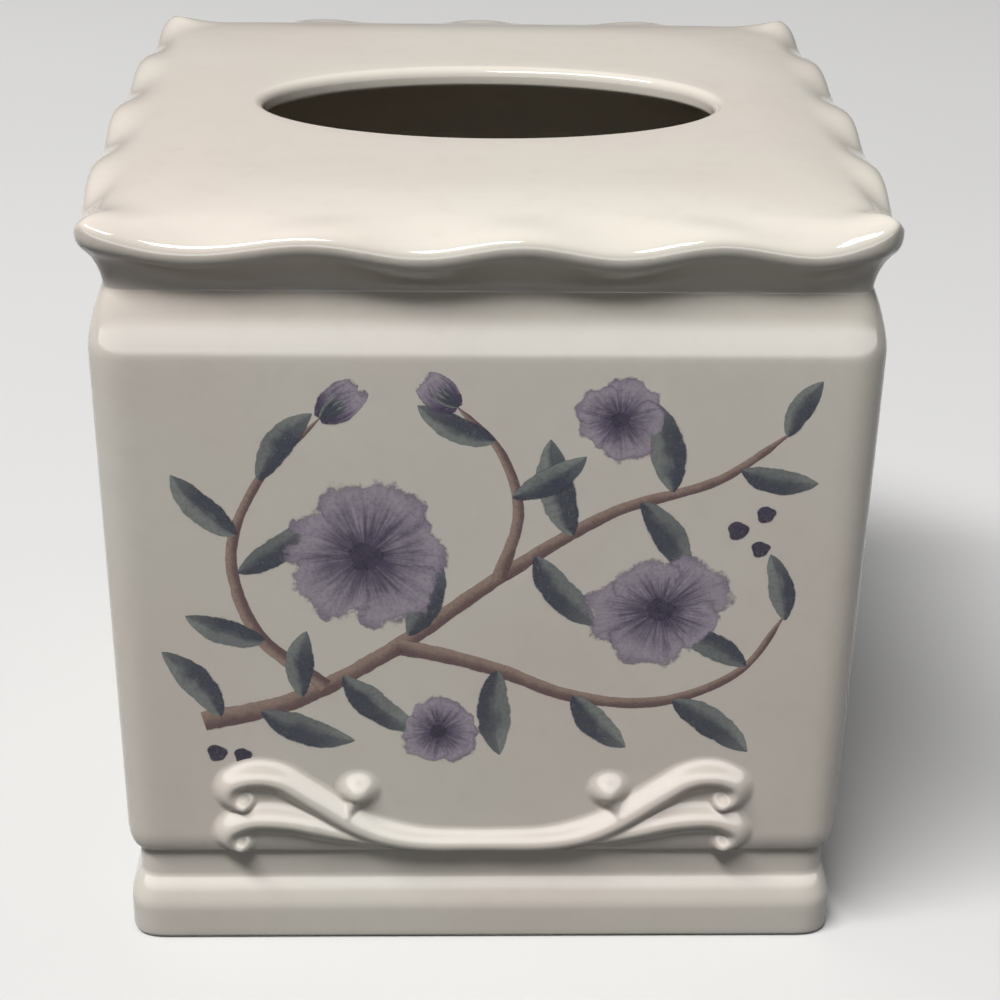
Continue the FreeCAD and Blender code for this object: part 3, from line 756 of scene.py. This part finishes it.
class PrintSheet:
    """Patches of paint on the flat wall, each a grid of places with its own run of paint."""

    def __init__(self):
        self.points = []
        self.strokes = []
        self.quads = []
        self.kinds = []
        self.lifts = []
        self.count = 0

    def add(self, kind, places, across, along, tone):
        rows, columns = across.shape
        quads = self.count + grid_quads(rows, columns).reshape(-1, 4)
        flat = places.reshape(-1, 2)
        middle = (rows // 2) * columns + columns // 2
        first = flat[middle + 1] - flat[middle]
        second = flat[middle + columns] - flat[middle]
        if first[0] * second[1] - first[1] * second[0] < 0:
            quads = quads[:, ::-1]
        self.points.append(flat)
        self.strokes.append(
            np.stack([across.ravel(), along.ravel(), np.full(rows * columns, tone)], axis=1)
        )
        self.quads.append(quads)
        self.kinds += [kind] * len(quads)
        self.lifts.append(np.full(rows * columns, len(self.points)))
        self.count += rows * columns


def smooth_path(controls, steps):
    """A smooth path through given points, with its unit directions."""
    points = np.array(controls, dtype=float) * MM
    padded = np.concatenate([[2 * points[0] - points[1]], points, [2 * points[-1] - points[-2]]])
    path = []
    for index in range(len(points) - 1):
        before, start, end, after = padded[index:index + 4]
        for part in np.arange(steps) / steps:
            bend = 2 * before - 5 * start + 4 * end - after
            twist = 3 * start - before - 3 * end + after
            path.append(
                0.5 * (2 * start + (end - before) * part + bend * part**2 + twist * part**3)
            )
    path.append(points[-1])
    path = np.array(path)
    heading = np.gradient(path, axis=0)
    return path, heading / np.linalg.norm(heading, axis=1)[:, None]


def bent_path(x, z, courses, size):
    """A path of a given length from its base, and its unit directions, one for each course."""
    heading = np.stack([np.cos(courses), np.sin(courses)], axis=1)
    step = size * MM / (len(courses) - 1)
    places = np.concatenate([[[0, 0]], np.cumsum(heading[:-1] * step, axis=0)])
    return np.array([x, z]) * MM + places, heading


def lay_strip(sheet, kind, path, heading, half, columns, tone):
    """Paint along a path, with a half width at each of its points."""
    across, along = np.meshgrid(np.linspace(-1, 1, columns), np.linspace(0, 1, len(path)))
    left = np.stack([-heading[:, 1], heading[:, 0]], axis=1)
    places = path[:, None, :] + left[:, None, :] * (across * half[:, None])[:, :, None]
    sheet.add(kind, places, across, along, tone)


def add_branch(sheet, controls, start_width, end_width, tone):
    path, heading = smooth_path(controls, 14)
    part = np.linspace(0, 1, len(path))
    width = start_width + (end_width - start_width) * part
    blunt_end = np.minimum(1, 12 * (1.02 - part))
    lay_strip(sheet, STEM, path, heading, MM * 0.5 * width * blunt_end, 7, tone)


def add_leaf(sheet, x, z, heading, size, width, bend, tone):
    """A pointed leaf from its base, its midrib bending by the given degrees."""
    part = np.linspace(0, 1, 23)
    midrib, course = bent_path(x, z, np.radians(heading + bend * part), size)
    half = width * MM / 2 * 1.9 * (part + 0.01) ** 0.72 * (1.004 - part) ** 0.8
    lay_strip(sheet, LEAF, midrib, course, half, 11, tone)


def polar_places(centre, reach, bearing, squash):
    """Places about a centre, drawn flatter by squash."""
    x = centre[0] + reach * np.cos(bearing)
    z = centre[1] + squash * reach * np.sin(bearing)
    return np.stack([x, z], axis=2)


def add_blossom(sheet, x, z, radius, turn, tone):
    """An open blossom of five round petals about a dark eye, a little wider than high."""
    petals = 5
    squash = 0.9
    centre = np.array([x, z]) * MM
    order = (0, 2, 4, 1, 3)
    for petal in order:
        middle = math.radians(turn + 360 / petals * petal)
        across, along = np.meshgrid(np.linspace(-1, 1, 19), np.linspace(0.01, 1, 20))
        spread = across * math.radians(50)
        size = radius * MM * (1 + 0.09 * math.sin(2.3 * petal + turn))
        edge = (1 - 0.30 * np.abs(across) ** 3.5) * (1 + 0.035 * np.cos(across * 9 + petal))
        places = polar_places(centre, size * along * edge, middle + spread, squash)
        sheet.add(PETAL, places, across, along, tone + 0.13 * math.sin(petal * 1.7))
    add_disc(sheet, EYE, centre, radius * MM * 0.2, squash, 0.5)


def add_disc(sheet, kind, centre, radius, squash, tone):
    across, along = np.meshgrid(np.linspace(0, 2 * math.pi, 25), np.linspace(0.004, 1, 7))
    wobble = 1 + 0.08 * np.sin(3 * across + 1) + 0.05 * np.sin(5 * across)
    places = polar_places(centre, radius * along * wobble, across, squash)
    sheet.add(kind, places, across / math.pi - 1, along, tone)


def add_bud(sheet, x, z, heading, size, tone):
    """A closed bud: two folded petals in a small green cup."""
    for bend, width in ((14, 0.62), (-16, 0.55)):
        part = np.linspace(0, 1, 17)
        middle, course = bent_path(x, z, np.radians(heading + bend * (1 - part)), size)
        half = size * MM * width * 0.5 * np.sin(np.pi * (0.1 + 0.87 * part**0.9)) ** 0.75
        lay_strip(sheet, PETAL, middle, course, half, 11, tone)
    for turn in (-24, 0, 24):
        add_leaf(sheet, x, z, heading + turn, size * 0.55, size * 0.22, -turn, 0.4)


# Branches: points in millimetres on the wall, width at the start and at the end, tone
BRANCHES = (
    (((-48, 46), (-33, 50), (-16, 60), (2, 74), (20, 86), (37, 92), (49, 101)), 4.2, 1.3, 0.55),
    (((-15, 61), (0, 57), (15, 51), (30, 50), (43, 56), (50, 67)), 3.4, 1.1, 0.35),
    (((-27, 53), (-38, 63), (-42, 78), (-37, 92), (-27, 103)), 3.0, 1.1, 0.75),
    (((2, 74), (5, 86), (2, 97), (-5, 105)), 2.6, 1.0, 0.5),
)
# Leaves: base, heading in degrees, length, width, bend, tone
LEAVES = (
    (-45, 47, 112, 16, 8.5, 30, 0.3),
    (-38, 48, -35, 17, 9.0, 30, 0.7),
    (-24, 55, -55, 17, 9.0, 30, 0.45),
    (-37, 62, 172, 14, 8.0, -25, 0.5),
    (-41, 75, 25, 15, 7.5, 30, 0.8),
    (-41, 82, 145, 15, 8.5, -25, 0.25),
    (-37, 92, 70, 15, 8.0, -35, 0.6),
    (8, 78, -65, 17, 9.0, 30, 0.55),
    (14, 82, 115, 18, 9.5, -25, 0.2),
    (25, 88, -45, 16, 8.5, -30, 0.75),
    (30, 90, 95, 17, 9.0, 20, 0.4),
    (41, 94, -25, 13, 7.5, 30, 0.65),
    (48, 100, 75, 11, 6.5, -25, 0.3),
    (2, 56, -100, 17, 9.5, 25, 0.6),
    (15, 51, -60, 14, 8.5, 25, 0.3),
    (32, 50, -28, 17, 9.0, -20, 0.5),
    (44, 57, 140, 15, 8.0, 25, 0.8),
    (50, 66, 95, 13, 7.0, 20, 0.4),
    (4, 89, 20, 14, 7.5, 25, 0.5),
    (1, 99, 165, 14, 7.5, -25, 0.35),
    (-13, 63, 60, 15, 8.5, 20, 0.6),
    (-31, 51, 100, 13, 7.5, -30, 0.4),
)
# Blossoms: middle, radius, turn in degrees, tone
BLOSSOMS = (
    (-20, 78, 15.0, 12, 0.45),
    (29, 68, 12.5, 40, 0.6),
    (21, 103, 8.0, 70, 0.35),
    (-8, 44, 7.5, 25, 0.5),
)
# Buds: base, heading in degrees, length, tone
BUDS = (
    (-27, 103, 40, 9.0, 0.5),
    (-5, 105, 140, 8.0, 0.6),
)
# Berries: middle and radius
BERRIES = ((41, 83, 1.9), (45.5, 86, 1.7), (45, 79.5, 1.6), (-46, 39.5, 1.8), (-41.5, 39, 1.6))


def print_sheet():
    sheet = PrintSheet()
    for controls, start_width, end_width, tone in BRANCHES:
        add_branch(sheet, controls, start_width, end_width, tone)
    for leaf in LEAVES:
        add_leaf(sheet, *leaf)
    for bud in BUDS:
        add_bud(sheet, *bud)
    for x, z, radius in BERRIES:
        add_disc(sheet, EYE, np.array([x, z]) * MM, radius * MM, 1.0, 0.9)
    for blossom in BLOSSOMS:
        add_blossom(sheet, *blossom)
    return sheet


def print_mesh(name, sizes, sheet, turn):
    """The print on one wall: a thin film of paint whose back lies inside the glaze."""
    flat = np.concatenate(sheet.points)
    order = np.concatenate(sheet.lifts)
    film = sizes.fit_clearance / 25
    lift = film * (1 + 2 * order / order.max())
    plane = wall_plane(sizes, flat[:, 1])
    layers = []
    for depth in (lift, np.full(len(flat), -4 * film)):
        layers.append(np.stack([flat[:, 0], -(plane + depth), flat[:, 1]], axis=1))
    quads = np.concatenate(sheet.quads)
    faces, used = closed_film(quads, sheet.count)
    mesh = mesh_from(name, turned(np.concatenate(layers)[used], turn), faces, film=True)
    kinds = np.array(sheet.kinds)
    rim_points = used[faces[2 * len(quads):, 0]] % sheet.count
    point_kind = np.zeros(sheet.count, dtype=int)
    point_kind[quads.ravel()] = np.repeat(kinds, 4)
    rim_kinds = point_kind[rim_points]
    mesh.polygons.foreach_set("material_index", np.concatenate([kinds, kinds, rim_kinds]))
    strokes = np.concatenate(sheet.strokes)
    mark = mesh.attributes.new("stroke", "FLOAT_VECTOR", "POINT")
    mark.data.foreach_set("vector", np.tile(strokes, (2, 1))[used].ravel().astype(np.float32))
    return mesh


# Finishes

class NodeDesk:
    """Adds and links the nodes of one tree."""

    def __init__(self, tree):
        self.tree = tree

    def add(self, kind, inputs=None, **settings):
        node = self.tree.nodes.new(kind)
        for name, value in settings.items():
            setattr(node, name, value)
        for key, value in (inputs or {}).items():
            self.set(node.inputs[key], value)
        return node

    def set(self, socket, value):
        if isinstance(value, bpy.types.NodeSocket):
            self.tree.links.new(value, socket)
        else:
            socket.default_value = value

    def sums(self, operation, first, second=0.0, clamp=False):
        node = self.add("ShaderNodeMath", {0: first, 1: second}, operation=operation)
        node.use_clamp = clamp
        return node.outputs[0]

    def remap(self, value, low, high, new_low=0.0, new_high=1.0):
        values = {"Value": value, "From Min": low, "From Max": high}
        values["To Min"] = new_low
        values["To Max"] = new_high
        node = self.add("ShaderNodeMapRange", values, interpolation_type="SMOOTHSTEP")
        return node.outputs["Result"]

    def blend(self, part, first, second):
        node = self.add("ShaderNodeMix", data_type="RGBA")
        self.set(node.inputs[0], part)
        for socket, value in ((node.inputs[6], first), (node.inputs[7], second)):
            linked = isinstance(value, bpy.types.NodeSocket)
            self.set(socket, value if linked else (*value, 1.0))
        return node.outputs[2]

    def sway(self, value, amount):
        """A noise about zero, from one about a half."""
        return self.sums("MULTIPLY", self.sums("SUBTRACT", value, 0.5), amount)


class MaterialDesk(NodeDesk):
    """A desk for a new material, whose textures lie in the object's own space."""

    def __init__(self, name):
        self.material = bpy.data.materials.new(name)
        self.material.use_nodes = True
        super().__init__(self.material.node_tree)
        self.tree.nodes.clear()
        self.places = self.add("ShaderNodeTexCoord").outputs["Object"]

    def noise(self, scale, detail=3.0, roughness=0.5, vector=None):
        values = {"Vector": vector or self.places, "Scale": scale, "Detail": detail}
        values["Roughness"] = roughness
        return self.add("ShaderNodeTexNoise", values).outputs["Fac"]

    def finished(self, surface):
        self.add("ShaderNodeOutputMaterial", {"Surface": surface})
        return self.material


GLAZE_IOR = 1.48


def glaze_colour(desk, colours):
    """Ivory with soft warm patches, a faint mottle and a few tiny specks."""
    patches = desk.remap(desk.noise(14.0, 2.0), 0.38, 0.66, 0.0, 0.6)
    glaze = desk.blend(patches, colours.ivory, colours.blush)
    mottle = desk.remap(desk.noise(230.0, 5.0, 0.6), 0.45, 0.75, 0.0, 0.10)
    glaze = desk.blend(mottle, glaze, colours.pool)
    cells = desk.add("ShaderNodeTexVoronoi", {"Vector": desk.places, "Scale": 19.0})
    speck = desk.remap(cells.outputs["Distance"], 0.0035, 0.0065, 0.75, 0.0)
    return desk.blend(speck, glaze, colours.speck)


def glaze_surface(desk, base_colour, cover=None):
    """Glossy, slightly uneven glaze. Where cover is under 1, what lies below shows through."""
    swell = desk.noise(42.0, 1.0)
    peel = desk.noise(700.0, 2.0)
    height = desk.sums("ADD", swell, desk.sums("MULTIPLY", peel, 0.03))
    bump = desk.add("ShaderNodeBump", {"Strength": 0.35, "Distance": 0.0004, "Height": height})
    gloss = desk.remap(desk.noise(95.0, 3.0), 0.3, 0.7, 0.055, 0.10)
    values = {"Base Color": base_colour, "Roughness": gloss, "IOR": GLAZE_IOR}
    values["Normal"] = bump.outputs["Normal"]
    surface = desk.add("ShaderNodeBsdfPrincipled", values).outputs["BSDF"]
    if cover:
        bare = desk.add("ShaderNodeBsdfTransparent").outputs["BSDF"]
        surface = desk.add("ShaderNodeMixShader", {0: cover, 1: bare, 2: surface}).outputs["Shader"]
    return desk.finished(surface)


def glaze_material(name, colours):
    desk = MaterialDesk(name)
    return glaze_surface(desk, glaze_colour(desk, colours))


def paint_parts(desk):
    """A point's place across and along its stroke, its tone, and the paint's grain and wash."""
    stroke = desk.add("ShaderNodeAttribute", attribute_name="stroke").outputs["Vector"]
    split = desk.add("ShaderNodeSeparateXYZ", {0: stroke})
    grain = desk.noise(1500.0, 4.0, 0.7)
    wash = desk.noise(260.0, 4.0, 0.6)
    return split.outputs[0], split.outputs[1], split.outputs[2], grain, wash


def edge_cover(desk, edge, grain, wash):
    """Full paint inside a stroke, broken by its grain and ending at a wavering edge."""
    wavering = desk.sums("ADD", edge, desk.sway(wash, 0.6))
    shown = desk.remap(wavering, 0.84, 0.97, 1.0, 0.0)
    speckle = desk.remap(grain, 0.30, 0.60, 0.70, 1.0)
    return desk.sums("MULTIPLY", shown, speckle)


def leaf_material(name, paints):
    desk = MaterialDesk(name)
    across, along, tone, grain, wash = paint_parts(desk)
    side = desk.sums("ADD", across, desk.sway(wash, 1.6))
    lit = desk.remap(side, -0.25, 0.55)
    lit = desk.sums("MULTIPLY", lit, desk.remap(tone, 0.0, 1.0, 1.0, 0.55))
    tip = desk.remap(along, 0.55, 1.0, 0.0, 0.45)
    lit = desk.sums("ADD", lit, tip, clamp=True)
    paint = desk.blend(lit, paints.leaf_dark, paints.leaf_pale)
    rib = desk.remap(desk.sums("ABSOLUTE", across), 0.02, 0.09, 0.35, 0.0)
    paint = desk.blend(rib, paint, paints.leaf_dark)
    edge = desk.sums("ABSOLUTE", across)
    return glaze_surface(desk, paint, edge_cover(desk, edge, grain, wash))


def petal_material(name, paints):
    desk = MaterialDesk(name)
    across, along, tone, grain, wash = paint_parts(desk)
    fanned = desk.sums("MULTIPLY", across, 7.0)
    stretched = desk.add("ShaderNodeCombineXYZ", {0: fanned, 1: along, 2: tone})
    streaks = desk.noise(1.4, 3.0, 0.6, stretched.outputs[0])
    depth = desk.sums("ADD", along, desk.sway(streaks, 0.9))
    depth = desk.sums("ADD", depth, desk.sway(wash, 0.5))
    pale = desk.remap(depth, 0.15, 0.85)
    paint = desk.blend(pale, paints.petal_deep, paints.petal_pale)
    edge = desk.sums("MAXIMUM", desk.sums("ABSOLUTE", across), along)
    rim = desk.remap(edge, 0.80, 0.95, 0.0, 0.35)
    paint = desk.blend(rim, paint, paints.petal_deep)
    return glaze_surface(desk, paint, edge_cover(desk, edge, grain, wash))


def stem_material(name, paints):
    desk = MaterialDesk(name)
    across, along, tone, grain, wash = paint_parts(desk)
    side = desk.sums("ADD", across, desk.sway(wash, 1.2))
    lit = desk.remap(side, -0.6, 0.7)
    paint = desk.blend(lit, paints.stem_dark, paints.stem_pale)
    edge = desk.sums("ABSOLUTE", across)
    return glaze_surface(desk, paint, edge_cover(desk, edge, grain, wash))


def eye_material(name, paints):
    desk = MaterialDesk(name)
    across, along, tone, grain, wash = paint_parts(desk)
    paint = desk.blend(desk.remap(wash, 0.35, 0.7), paints.eye, paints.petal_deep)
    return glaze_surface(desk, paint, edge_cover(desk, along, grain, wash))


def floor_material(name, stage):
    """Pale paper, which throws back only a little light on the cover."""
    desk = MaterialDesk(name)
    tone = desk.remap(desk.noise(3.0, 2.0), 0.3, 0.7)
    darker = tuple(value * 0.97 for value in stage.floor_colour)
    dim = tuple(value * stage.bounce for value in stage.floor_colour)
    paper = desk.blend(tone, stage.floor_colour, darker)
    rays = desk.add("ShaderNodeLightPath").outputs
    seen = desk.sums("MAXIMUM", rays["Is Camera Ray"], rays["Is Glossy Ray"])
    seen = desk.sums("MAXIMUM", seen, rays["Is Transmission Ray"])
    paper = desk.blend(seen, dim, paper)
    values = {"Base Color": paper, "Roughness": 0.7, "Specular IOR Level": 0.0}
    return desk.finished(desk.add("ShaderNodeBsdfPrincipled", values).outputs["BSDF"])


# Operators

def add_glazed(scene, name, mesh, node, slot):
    """Puts a mesh in the scene in plain glaze, in the place of a node."""
    add_piece(name, mesh, [glaze_material(slot, scene.cover_glaze)], node)


class COVER_OT_base_plinth(bpy.types.Operator):
    """Build the plinth with its groove"""

    bl_idname = "cover.base_plinth"
    bl_label = "Base plinth"

    def execute(self, context):
        sizes = context.scene.cover_sizes
        mesh = square_mesh("plinth_moulding", sizes, plinth_outline(sizes))
        add_glazed(context.scene, "plinth_moulding", mesh, "base_plinth", "plinth_glaze")
        return {"FINISHED"}


class COVER_OT_body_shell(bpy.types.Operator):
    """Build the hollow body with its rounded foot and shoulder"""

    bl_idname = "cover.body_shell"
    bl_label = "Body shell"

    def execute(self, context):
        sizes = context.scene.cover_sizes
        mesh = square_mesh("body_wall", sizes, body_outline(sizes))
        add_glazed(context.scene, "body_wall", mesh, "body_shell", "wall_glaze")
        return {"FINISHED"}


class COVER_OT_top_plate(bpy.types.Operator):
    """Build the scalloped top with its cove and oval mouth"""

    bl_idname = "cover.top_plate"
    bl_label = "Top plate"

    def execute(self, context):
        sizes = context.scene.cover_sizes
        mesh = plate_mesh("scalloped_top", sizes)
        add_glazed(context.scene, "scalloped_top", mesh, "top_plate", "top_glaze")
        return {"FINISHED"}


class COVER_OT_relief_scrolls(bpy.types.Operator):
    """Build the relief scroll on each wall"""

    bl_idname = "cover.relief_scrolls"
    bl_label = "Relief scrolls"

    def execute(self, context):
        scene = context.scene
        material = glaze_material("scroll_glaze", scene.cover_glaze)
        for turn, side in enumerate(SIDES):
            name = f"relief_{side}"
            mesh = scroll_mesh(name, scene.cover_sizes, scene.cover_scroll, turn)
            add_piece(name, mesh, [material], f"scroll_{side}")
        return {"FINISHED"}


class COVER_OT_floral_print(bpy.types.Operator):
    """Lay the floral print on each wall"""

    bl_idname = "cover.floral_print"
    bl_label = "Floral print"

    def execute(self, context):
        scene = context.scene
        paints = scene.cover_print
        materials = [
            leaf_material("leaf_paint", paints),
            petal_material("petal_paint", paints),
            stem_material("branch_paint", paints),
            eye_material("eye_paint", paints),
        ]
        sheet = print_sheet()
        for turn, side in enumerate(SIDES):
            name = f"print_{side}"
            add_piece(name, print_mesh(name, scene.cover_sizes, sheet, turn), materials)
        return {"FINISHED"}


class COVER_OT_studio_stage(bpy.types.Operator):
    """Set the floor, the light and the camera"""

    bl_idname = "cover.studio_stage"
    bl_label = "Studio stage"

    def execute(self, context):
        stage = context.scene.cover_stage
        add_floor(stage)
        add_light(context.scene, stage)
        add_camera(context.scene, stage)
        context.scene.view_settings.view_transform = "Standard"
        return {"FINISHED"}


FLOOR_HALF = 6.0
SENSOR_WIDTH_MM = 36.0


def add_floor(stage):
    half = FLOOR_HALF
    corners = [(-half, -half, 0), (half, -half, 0), (half, half, 0), (-half, half, 0)]
    floor = bpy.data.objects.new("studio_floor", mesh_from("studio_floor", corners, [(0, 1, 2, 3)]))
    floor.data.materials.append(floor_material("floor_paper", stage))
    bpy.context.scene.collection.objects.link(floor)


def add_light(scene, stage):
    world = bpy.data.worlds.new("soft_surroundings")
    world.use_nodes = True
    background = world.node_tree.nodes["Background"]
    background.inputs["Color"].default_value = (*stage.sky_colour, 1.0)
    background.inputs["Strength"].default_value = stage.sky_strength
    scene.world = world
    lean, turn = stage.key_lean, stage.key_turn
    level = math.sin(lean)
    bearing = Vector((level * math.sin(turn), -level * math.cos(turn), math.cos(lean)))
    face = (stage.key_width, stage.key_height)
    add_lamp(scene, "key_light", bearing * stage.key_distance, -bearing, face, stage.key_strength)
    ahead = Vector((0.0, 1.0, 0.0))
    face = (stage.panel_width, stage.panel_height)
    place = Vector((0.0, -stage.panel_distance, stage.panel_height / 2))
    panel = add_lamp(scene, "front_panel", place, ahead, face, stage.panel_strength)
    panel.visible_diffuse = False
    fade_lamp(panel.data, stage.panel_fade)


def add_lamp(scene, name, place, aim, face, strength):
    """A soft lamp with a rectangular face of even brightness."""
    lamp = bpy.data.lights.new(name, "AREA")
    lamp.shape = "RECTANGLE"
    lamp.size, lamp.size_y = face
    lamp.energy = strength * math.pi * face[0] * face[1]
    holder = bpy.data.objects.new(name, lamp)
    holder.location = place
    holder.rotation_euler = aim.to_track_quat("-Z", "Y").to_euler()
    scene.collection.objects.link(holder)
    return holder


def fade_lamp(lamp, fade):
    """Lets a lamp's face grow dim towards its lower and upper edges."""
    lamp.use_nodes = True
    desk = NodeDesk(lamp.node_tree)
    place = desk.add("ShaderNodeNewGeometry").outputs["Parametric"]
    split = desk.add("ShaderNodeSeparateXYZ", {"Vector": place})
    to_edge = desk.sums("PINGPONG", split.outputs["Y"], 0.5)
    emission = desk.tree.nodes["Emission"]
    desk.set(emission.inputs["Strength"], desk.remap(to_edge, 0.0, fade))


def add_camera(scene, stage):
    turn, tilt, roll = stage.camera_turn, stage.camera_tilt, stage.camera_roll
    forward = Vector(
        (math.sin(turn) * math.cos(tilt), math.cos(turn) * math.cos(tilt), -math.sin(tilt))
    )
    level = Vector((math.cos(turn), -math.sin(turn), 0.0))
    down = forward.cross(level)
    right = level * math.cos(roll) + down * math.sin(roll)
    lower = down * math.cos(roll) - level * math.sin(roll)
    camera = bpy.data.cameras.new("photo_camera")
    camera.sensor_width = SENSOR_WIDTH_MM
    camera.lens = stage.focal_length
    holder = bpy.data.objects.new("photo_camera", camera)
    axes = Matrix((right, -lower, -forward)).transposed().to_4x4()
    holder.matrix_world = Matrix.Translation(Vector(stage.camera_place)) @ axes
    scene.collection.objects.link(holder)
    scene.camera = holder


class COVER_PT_sidebar(bpy.types.Panel):
    bl_idname = "COVER_PT_sidebar"
    bl_label = "Tissue box cover"
    bl_space_type = "VIEW_3D"
    bl_region_type = "UI"
    bl_category = "Cover"

    def draw(self, context):
        for operator in BUILD_ORDER:
            self.layout.operator(operator.bl_idname)
        for group in GROUPS:
            box = self.layout.box()
            settings = getattr(context.scene, group)
            for name in settings.__annotations__:
                box.prop(settings, name)


BUILD_ORDER = (
    COVER_OT_base_plinth,
    COVER_OT_body_shell,
    COVER_OT_top_plate,
    COVER_OT_relief_scrolls,
    COVER_OT_floral_print,
    COVER_OT_studio_stage,
)
GROUPS = {
    "cover_sizes": CoverSizes,
    "cover_scroll": ScrollSizes,
    "cover_glaze": GlazeColours,
    "cover_print": PrintColours,
    "cover_stage": StageSettings,
}


def register():
    for group, settings in GROUPS.items():
        bpy.utils.register_class(settings)
        setattr(bpy.types.Scene, group, PointerProperty(type=settings))
    for operator in BUILD_ORDER:
        bpy.utils.register_class(operator)
    bpy.utils.register_class(COVER_PT_sidebar)


def unregister():
    bpy.utils.unregister_class(COVER_PT_sidebar)
    for operator in reversed(BUILD_ORDER):
        bpy.utils.unregister_class(operator)
    for group, settings in reversed(GROUPS.items()):
        delattr(bpy.types.Scene, group)
        bpy.utils.unregister_class(settings)


def main():
    register()
    bpy.ops.cover.base_plinth()
    bpy.ops.cover.body_shell()
    bpy.ops.cover.top_plate()
    bpy.ops.cover.relief_scrolls()
    bpy.ops.cover.floral_print()
    bpy.ops.cover.studio_stage()


if __name__ == "__main__":
    main()
